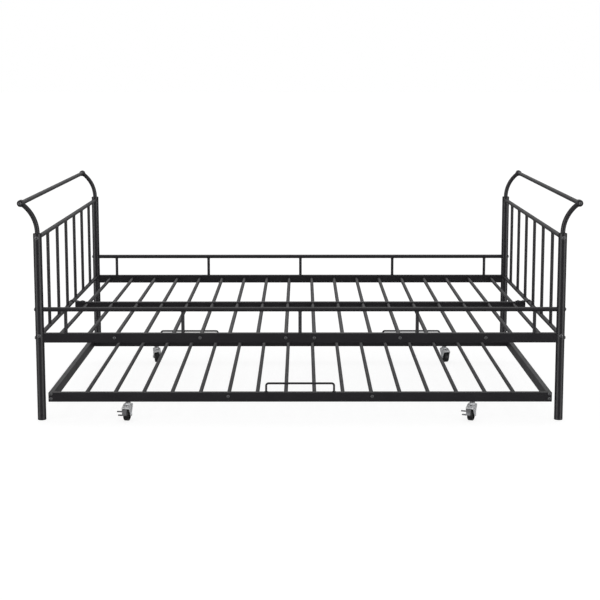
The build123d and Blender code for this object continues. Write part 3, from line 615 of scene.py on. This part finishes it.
# ---- Posts and curled ends ----
def collar(mesh, low, high):
    """The closed top of a post: a rim, a shallow groove and the seat of the curled tube."""
    middle = (low + high) / 2
    radius = (high.x - low.x) / 2
    tube_low, tube_high = boxes("scroll_tubes_left")[0]
    bore = (tube_high.y - tube_low.y) / 2
    top = high.z
    under = top - 2 * COLLAR_GROOVE
    corners = [
        (radius, under, 0),
        (radius, top, LIP * 2),
        (radius - COLLAR_RIM, top, LIP),
        (radius - COLLAR_RIM - LIP, top - COLLAR_GROOVE, LIP),
        (bore, top - COLLAR_GROOVE, LIP),
        (bore, under, 0),
    ]
    profile = soften(corners, loop=True, steps=4)
    lathe(mesh, profile, stand((middle.x, middle.y, 0), Z), TURNED_SIDES, loop=True)


def glide(mesh, low, high):
    """A plastic disc under a post, rounded at the floor and a little proud of the tube's end."""
    middle = (low + high) / 2
    radius = (high.x - low.x) / 2
    post_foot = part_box("post_front_left")[0].z
    plug = radius * GLIDE_PLUG
    corners = [
        (AXIS, 0, 0),
        (radius, 0, GLIDE_ROUNDING),
        (radius, post_foot, LIP),
        (plug, post_foot, 0),
        (plug, high.z, 0),
        (AXIS, high.z, 0),
    ]
    lathe(mesh, soften(corners), stand((middle.x, middle.y, low.z), Z), TURNED_SIDES)


def boss(mesh, low, high):
    """The rounded boss at the end of a curled tube."""
    start, direction, length = lengthwise(low, high)
    radius = (high.z - low.z) / 2
    corners = [(AXIS, 0, 0), (radius, 0, BOSS_ROUNDING), (radius, length, BOSS_ROUNDING), (AXIS, length, 0)]
    lathe(mesh, soften(corners, steps=8), stand(start, direction), TURNED_SIDES)


def curled_tubes():
    """Each tube that rises from a post and curls outward to its boss, with the welds at both ends."""
    bosses = boxes("scroll_bosses")
    collar_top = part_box("post_collars")[1].z
    welds = bmesh.new()
    for end in ENDS:
        mesh = bmesh.new()
        for low, high in boxes(f"scroll_tubes_{end}"):
            middle = (low + high) / 2
            outer = 1 if middle.x > 0 else -1
            radius = (high.y - low.y) / 2
            axis_x = (low.x + radius) if outer > 0 else (high.x - radius)
            seat = min(bosses, key=lambda box: ((box[0] + box[1]) / 2 - middle).length)
            target = (seat[0] + seat[1]) / 2
            reach, rise = abs(target.x - axis_x), target.z - collar_top
            bend = 2 * atan2(reach, rise)
            bend_radius = rise / sin(bend)
            path = [Vector((axis_x, middle.y, low.z)), Vector((axis_x, middle.y, collar_top))]
            for step in range(1, CURL_STEPS + 1):
                turn = bend * step / CURL_STEPS
                x = axis_x + outer * bend_radius * (1 - cos(turn))
                path.append(Vector((x, middle.y, collar_top + bend_radius * sin(turn))))
            sweep(mesh, path, circle(radius, CURL_SIDES), Y)
            heading = Vector((outer * sin(bend), 0, cos(bend)))
            boss_radius = (seat[1].z - seat[0].z) / 2
            bead(welds, target, -heading, radius, boss_radius, Y, middle.y)
            root = Vector((axis_x, middle.y, collar_top - COLLAR_GROOVE))
            bead(welds, root, Z, radius, 0, Y, middle.y + ROOT_SEED)
        stand_for(f"scroll_tubes_{end}", mesh)
    make("scroll_tube_welds", welds, "black_powder_coat", "bed_frame")


def brackets():
    """The straps that hook the centre rail's ends over the lower cross rails."""
    mesh = bmesh.new()
    rail_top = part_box("centre_rail")[1].z
    for low, high in boxes("centre_rail_brackets"):
        outer = 1 if low.x > 0 else -1
        end = "left" if outer < 0 else "right"
        cross_low, cross_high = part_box(f"lower_cross_rail_{end}")
        centre = (cross_low + cross_high) / 2
        radius = high.z - centre.z - BRACKET_PLATE / 2
        lift = rail_top + BRACKET_PLATE / 2 - centre.z
        first = pi - asin(lift / radius)
        arc = [first * (1 - step / BRACKET_STEPS) for step in range(BRACKET_STEPS + 1)]
        start = (low if outer > 0 else high).x
        path = [Vector((start, 0, rail_top + BRACKET_PLATE / 2))]
        path += [Vector((centre.x + outer * radius * cos(a), 0, centre.z + radius * sin(a))) for a in arc]
        path.append(path[-1] - Z * BRACKET_LIP)
        section = rounded_rectangle(BRACKET_WIDTH / 2, BRACKET_PLATE / 2, BRACKET_ROUNDING, steps=3)
        sweep(mesh, path, section, Y, lip=BRACKET_ROUNDING / 2)
    stand_for("centre_rail_brackets", mesh)


# ---- Bolts ----
def bolt_head(mesh, seat, outward):
    """A button head with a hexagon socket."""
    corners = [(BOLT_HEAD, 0, 0), (BOLT_HEAD, BOLT_HEIGHT, BOLT_ROUNDING), (BOLT_MOUTH, BOLT_HEIGHT, 0)]
    mouth, side = hexagon(BOLT_SOCKET), hexagon(BOLT_SOCKET * cos(pi / 6))
    socket = [
        (mouth, BOLT_HEIGHT - SOCKET_EDGE),
        (side, BOLT_HEIGHT - SOCKET_CHAMFER),
        (side, SOCKET_FLOOR),
    ]
    lathe(mesh, soften(corners, steps=6) + socket, stand(seat, outward), HEAD_SIDES)


def saddle_washer(mesh, seat, outward, post_radius):
    """A washer between a bolt's head and the round of a post."""
    place = stand(seat, outward, Z)

    def depth(turn, radius):
        """How far the post's face lies below its highest line."""
        return post_radius - sqrt(post_radius**2 - (radius * sin(turn)) ** 2)

    rings = []
    corners = [(WASHER, 0), (WASHER, WASHER_PLATE), (WASHER_BORE, WASHER_PLATE), (WASHER_BORE, 0)]
    for radius, lift in corners:
        ring = []
        for i in range(WASHER_SIDES):
            turn = 2 * pi * i / WASHER_SIDES
            height = lift - depth(turn, radius)
            ring.append(place @ Vector((radius * cos(turn), radius * sin(turn), height)))
        rings.append(ring)
    skin(mesh, rings, loop=True)


def bolt_seats(node):
    """The seat and the outward direction of each bolt of a node, whose head is its widest end."""
    seats = []
    for island in solids(node):
        low, high = box_of(island)
        start, direction, length = lengthwise(low, high)
        offsets = [point - start for point in island]
        widest = max(offset.cross(direction).length for offset in offsets)
        is_rim = [offset.cross(direction).length > RIM_SHARE * widest for offset in offsets]
        rim = [offset.dot(direction) for offset, kept in zip(offsets, is_rim) if kept]
        at_far_end = sum(rim) / len(rim) > length / 2
        if at_far_end:
            seats.append((start + direction * (length - BOLT_HEIGHT), direction))
        else:
            seats.append((start + direction * BOLT_HEIGHT, -direction))
    return seats


def bolts():
    """Every visible bolt head, with saddle washers where it sits on a round post."""
    post_low, post_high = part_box("post_front_left")
    post_radius = (post_high.x - post_low.x) / 2
    post_top = post_high.z
    for node in ("frame_bolts", "slat_bolts", "bracket_bolts", "trundle_bolts"):
        mesh = bmesh.new()
        for seat, outward in bolt_seats(node):
            bolt_head(mesh, seat, outward)
            if node == "frame_bolts" and seat.z < post_top:
                saddle_washer(mesh, seat, outward, post_radius)
        stand_for(node, mesh)


# ---- Trundle fittings ----
def mattress_stops():
    """Bent wires that stand on the trundle's rails."""
    for node in ("mattress_stop_front", "mattress_stop_back_left", "mattress_stop_back_right"):
        low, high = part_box(node)
        y = (low.y + high.y) / 2
        radius = (high.y - low.y) / 2
        left, right, top = low.x + radius, high.x - radius, high.z - radius
        corners = [
            (left, y, low.z, 0),
            (left, y, top, WIRE_BEND),
            (right, y, top, WIRE_BEND),
            (right, y, low.z, 0),
        ]
        mesh = bmesh.new()
        sweep(mesh, soften(corners, steps=10), circle(radius, WIRE_SIDES), Y)
        stand_for(node, mesh)


def grommet(mesh, low, high):
    """A ring with a rounded top edge round a wire's leg."""
    middle = (low + high) / 2
    rail_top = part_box("trundle_front_rail")[1].z
    radius, height = (high.x - low.x) / 2, high.z - rail_top
    wire_low, wire_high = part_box("mattress_stop_front")
    bore = (wire_high.y - wire_low.y) / 2
    corners = [(radius, 0, LIP), (radius, height, GROMMET_ROUNDING), (bore, height, LIP), (bore, 0, LIP)]
    profile = soften(corners, loop=True)
    lathe(mesh, profile, stand((middle.x, middle.y, rail_top), Z), loop=True)


def nut(mesh, low, high):
    """A hexagon nut with its corners cut, and the washer that it tightens against the rail."""
    middle = (low + high) / 2
    apothem = min(high.x - low.x, high.y - low.y) / 2
    bore, height = STEM_RADIUS + NUT_PLAY, high.z - low.z
    face = height - NUT_WASHER
    foot = hexagon(apothem, apothem * NUT_FOOT)
    side = hexagon(apothem, apothem * NUT_CORNER)
    place = stand((middle.x, middle.y, low.z), Z)
    lathe(mesh, [(bore, 0), (foot, 0), (side, NUT_CHAMFER), (side, face), (bore, face)], place, TURNED_SIDES)
    edge = apothem * NUT_WASHER_REACH
    lathe(mesh, [(bore, face), (edge, face), (edge, height), (bore, height)], place, TURNED_SIDES)


def stem(mesh, low, high):
    """A threaded kingpin, whose head is under the fork's crown."""
    middle = (low + high) / 2
    head, top = (high.x - low.x) / 2, high.z - low.z
    profile = [(AXIS, 0), (head - LIP, 0), (head, LIP), (head, STEM_HEAD - LIP), (head - LIP, STEM_HEAD)]
    profile.append((STEM_RADIUS, STEM_HEAD + STEM_SHOULDER))
    height = STEM_HEAD + THREAD_START
    while height < top - THREAD_PITCH:
        profile += [(STEM_RADIUS, height), (STEM_RADIUS - THREAD_DEPTH, height + THREAD_PITCH / 2)]
        height += THREAD_PITCH
    profile += [(STEM_RADIUS - THREAD_DEPTH, top), (AXIS, top)]
    lathe(mesh, profile, stand((middle.x, middle.y, low.z), Z))


# ---- Casters ----
def on_axle(name):
    """The matrix that puts a piece's Z along a wheel's axis, at the wheel's middle."""
    joint = JOINTS[f"wheel_spin_{name}"]
    return stand(Vector(joint["pos_m"]), Vector(joint["axis"]), Z)


def wheel(name):
    """A nylon wheel: rounded tread, rim, ribbed web and a hub that is wider than the tread."""
    place = on_axle(name)
    low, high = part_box(f"caster_wheel_{name}")
    radius = (high.z - low.z) / 2
    half, web, hub = WHEEL_WIDTH / 2, WHEEL_WEB / 2, HUB_WIDTH / 2
    rim = radius - WHEEL_RIM
    side = [
        (AXLE_RADIUS + WHEEL_PLAY, hub, LIP),
        (HUB_RADIUS - WHEEL_DRAFT, hub, LIP),
        (HUB_RADIUS, web, HUB_FILLET),
        (rim, web, RIM_FILLET),
        (rim + WHEEL_DRAFT, half, WHEEL_DRAFT),
        (radius, half, TREAD_ROUNDING),
    ]
    other = [(r, -z, rounding) for r, z, rounding in reversed(side)]
    mesh = bmesh.new()
    lathe(mesh, soften(side + other, loop=True, steps=6), place, WHEEL_SIDES, loop=True)
    for index in range(RIBS):
        turn = 2 * pi * index / RIBS
        along, across = Vector((cos(turn), sin(turn), 0)), Vector((-sin(turn), cos(turn), 0))
        for face in (-1, 1):
            rib(mesh, place, along, across, face, HUB_RADIUS - RIB_OVERLAP, rim + WHEEL_DRAFT)
    stand_for(f"caster_wheel_{name}", mesh)


def rib(mesh, place, along, across, face, start, end):
    """A radial rib on one side of a wheel's web, tapered towards its edge."""
    foot, edge = face * (WHEEL_WEB / 2 - RIB_OVERLAP), face * (WHEEL_WIDTH / 2 - RIB_INSET)
    corners = [(RIB_FOOT, foot), (RIB_EDGE, edge), (-RIB_EDGE, edge), (-RIB_FOOT, foot)]
    rings = []
    for reach in (start, end):
        rings.append([place @ (along * reach + across * u + Z * v) for u, v in corners])
    skin(mesh, rings)


def axle(name):
    """An axle with a domed, dimpled head on each side of the fork."""
    place = on_axle(name)
    tip = AXLE_REACH + AXLE_HEAD_HEIGHT
    edge_depth, edge_rounding = AXLE_HEAD_EDGE
    corners = [
        (AXLE_RADIUS, AXLE_START, 0),
        (AXLE_RADIUS, AXLE_REACH, 0),
        (AXLE_HEAD, AXLE_REACH, AXLE_HEAD_SEAT),
        (AXLE_HEAD, tip - edge_depth, edge_rounding),
    ]
    corners += [(radius, tip - depth, rounding) for radius, depth, rounding in AXLE_DIMPLE]
    upper = soften(corners)
    lower = [Vector((point.x, -point.y)) for point in reversed(upper)]
    mesh = bmesh.new()
    lathe(mesh, lower + upper, place, AXLE_SIDES)
    stand_for(f"caster_axle_{name}", mesh)


def crown_painted_spot(name):
    """A dark rivet-shaped dome on the sloping back of a fork's crown, as painted reflection: a dark spot that
    stands for a dark reflection on the crown.
    """
    swivel = Vector(JOINTS[f"caster_swivel_{name}"]["pos_m"])
    spin = JOINTS[f"wheel_spin_{name}"]
    back = Vector(spin["pos_m"]) - swivel
    back.z = 0
    back.normalize()
    up = Z * cos(CROWN_SLOPE) + back * sin(CROWN_SLOPE)
    crown_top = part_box(f"caster_fork_{name}")[1].z - FORK_DOME
    seat = Vector((swivel.x, swivel.y, crown_top - PAINTED_SPOT_DROP)) + back * PAINTED_SPOT_BACK
    mesh = bmesh.new()
    corners = [
        (AXIS, -PAINTED_SPOT_SINK, 0),
        (PAINTED_SPOT, -PAINTED_SPOT_SINK, 0),
        (PAINTED_SPOT, PAINTED_SPOT_EDGE, PAINTED_SPOT_ROUNDING),
        (AXIS, PAINTED_SPOT_TOP, 0),
    ]
    lathe(mesh, soften(corners), stand(seat, up), HEAD_SIDES)
    # the dark steel finish here paints the crown's dark reflection
    make(f"crown_painted_spot_{name}", mesh, "black_oxide_steel", f"caster_{name}")


def rounded_edges(node, width):
    """Keeps a CAD node's shape, and rounds its edges as pressing and plating leave them."""
    piece = frame["nodes"][node]
    weld = piece.modifiers.new("weld", "WELD")
    weld.merge_threshold = SAME_POINT
    bevel = piece.modifiers.new("rounded_edges", "BEVEL")
    bevel.width = width
    bevel.segments = 2
    bevel.limit_method = "ANGLE"
    bevel.angle_limit = BEVEL_ANGLE
    bevel.use_clamp_overlap = True
    even_shading(piece)


def casters():
    """Wheels, axles and a dark dome on each crown as painted reflection, with the pressed forks and brakes kept
    from the frame.
    """
    for name in CASTERS:
        wheel(name)
        axle(name)
        crown_painted_spot(name)
        rounded_edges(f"caster_fork_{name}", FORK_EDGE)
        if f"brake_{name}" in BODIES:
            rounded_edges(f"brake_pedal_{name}", BRAKE_EDGE)


def finish_frame_nodes():
    """Gives every CAD node its slot's finish, shown or not."""
    for node, piece in frame["nodes"].items():
        piece.data.materials.clear()
        piece.data.materials.append(FINISHES[SLOT_OF[node]])


# ---- Floor, light and camera ----
def floor():
    """A plain floor that glows nearly white, so shadows stay faint, and that the paint doesn't mirror."""
    mesh = bmesh.new()
    outline = [(FLOOR_REACH, FLOOR_REACH), (-FLOOR_REACH, FLOOR_REACH)]
    outline += [(-x, -y) for x, y in outline]
    skin(mesh, [[Vector((x, y, z)) for x, y in outline] for z in (-FLOOR_DEPTH, 0)])
    bmesh.ops.recalc_face_normals(mesh, faces=mesh.faces)
    data = bpy.data.meshes.new("floor")
    mesh.to_mesh(data)
    mesh.free()
    finish, shader, _ = new_finish("floor", (FLOOR_SHADE, FLOOR_SHADE, FLOOR_SHADE), roughness=0.9)
    shader.inputs["Specular IOR Level"].default_value = FLOOR_SHEEN
    shader.inputs["Emission Color"].default_value = WHITE
    shader.inputs["Emission Strength"].default_value = FLOOR_GLOW
    data.materials.append(finish)
    piece = bpy.data.objects.new("floor", data)
    piece.visible_glossy = False
    piece.visible_diffuse = False
    piece.visible_shadow = False
    bpy.context.scene.collection.objects.link(piece)


def between(tree, value, start, end, low, high):
    """A value eased from low to high while another goes from start to end."""
    eased = tree.nodes.new("ShaderNodeMapRange")
    eased.interpolation_type = "SMOOTHSTEP"
    eased.inputs["From Min"].default_value = start
    eased.inputs["From Max"].default_value = end
    eased.inputs["To Min"].default_value = low
    eased.inputs["To Max"].default_value = high
    tree.links.new(value, eased.inputs["Value"])
    return eased.outputs["Result"]


def arithmetic(tree, operation, value, other=None):
    """A Math node on a value, and on a number or another value."""
    node = tree.nodes.new("ShaderNodeMath")
    node.operation = operation
    tree.links.new(value, node.inputs[0])
    if isinstance(other, float):
        node.inputs[1].default_value = other
    elif other is not None:
        tree.links.new(other, node.inputs[1])
    return node.outputs["Value"]


def sky():
    """A studio that is dim below and pale above, with two soft boxes in front, all white to the camera."""
    world = bpy.data.worlds.new("studio")
    world.use_nodes = True
    tree = world.node_tree
    axes = tree.nodes.new("ShaderNodeSeparateXYZ")
    tree.links.new(tree.nodes.new("ShaderNodeTexCoord").outputs["Generated"], axes.inputs[0])
    height = between(tree, axes.outputs["Z"], *SKY_RISE, SKY_BELOW, SKY_ABOVE)
    aside = arithmetic(tree, "MULTIPLY", arithmetic(tree, "ABSOLUTE", axes.outputs["X"]), sin(BOX_ANGLE))
    ahead = arithmetic(tree, "MULTIPLY", axes.outputs["Y"], -cos(BOX_ANGLE))
    facing = arithmetic(tree, "ADD", aside, ahead)
    box = between(tree, facing, cos(BOX_EDGE), cos(BOX_CORE), 0.0, BOX_STRENGTH)
    strength = arithmetic(tree, "ADD", height, box)
    soft = tree.nodes["Background"]
    soft.inputs["Color"].default_value = WHITE
    tree.links.new(strength, soft.inputs["Strength"])
    white = tree.nodes.new("ShaderNodeBackground")
    white.inputs["Color"].default_value = WHITE
    white.inputs["Strength"].default_value = 1.0
    rays = tree.nodes.new("ShaderNodeLightPath")
    mix = tree.nodes.new("ShaderNodeMixShader")
    tree.links.new(rays.outputs["Is Camera Ray"], mix.inputs["Fac"])
    tree.links.new(soft.outputs["Background"], mix.inputs[1])
    tree.links.new(white.outputs["Background"], mix.inputs[2])
    tree.links.new(mix.outputs["Shader"], tree.nodes["World Output"].inputs["Surface"])
    bpy.context.scene.world = world


def overhead():
    """A broad distant lamp above the bed, a little behind."""
    data = bpy.data.lights.new("overhead", "SUN")
    data.energy = LAMP_STRENGTH
    data.angle = LAMP_SPREAD
    lit = bpy.data.objects.new("overhead", data)
    lit.rotation_euler = (-LAMP_TILT, 0, 0)
    bpy.context.scene.collection.objects.link(lit)


def camera():
    """In front of the bed's middle and above it, looking slightly down."""
    data = bpy.data.cameras.new("camera")
    data.sensor_width = SENSOR
    data.lens = LENS
    data.shift_y = SHIFT
    data.clip_end = CLIP_END
    eye = bpy.data.objects.new("camera", data)
    eye.location = EYE
    eye.rotation_euler = (radians(90 - EYE_PITCH), radians(EYE_ROLL), radians(EYE_YAW))
    bpy.context.scene.collection.objects.link(eye)
    bpy.context.scene.camera = eye


def bed():
    """The standing bed."""
    for end in ENDS:
        for row in ROWS:
            rebuild(f"post_{row}_{end}", tube, count=POST_SIDES)
        rebuild(f"top_bar_{end}", tube, count=BAR_SIDES)
        rebuild(f"upper_cross_rail_{end}", tube, count=BAR_SIDES)
        rebuild(f"lower_cross_rail_{end}", tube, count=BAR_SIDES)
        rebuild(f"end_spindles_{end}", tube)
    for row in ROWS:
        rebuild(f"side_rail_{row}", rail)
        rebuild(f"guard_rail_{row}", tube, count=BAR_SIDES)
        rebuild(f"guard_spindles_{row}", tube)
        rebuild(f"slats_{row}_row", tube)
    rebuild("centre_rail", rail)
    rebuild("post_collars", collar)
    rebuild("post_glides", glide)
    rebuild("scroll_bosses", boss)
    curled_tubes()
    brackets()
    spindle_welds()


def trundle():
    """The low frame that rolls out."""
    for name in ("front_rail", "back_rail", "side_rail_left", "side_rail_right"):
        rebuild(f"trundle_{name}", rail)
    rebuild("trundle_slats", tube)
    rebuild("trundle_end_caps", end_cap)
    mattress_stops()
    rebuild("stop_grommets", grommet)
    rebuild("caster_nuts", nut)
    rebuild("caster_stems", stem)
    casters()


finish_frame_nodes()
bed()
trundle()
bolts()
floor()
sky()
overhead()
camera()
bpy.context.scene.view_settings.view_transform = "Standard"
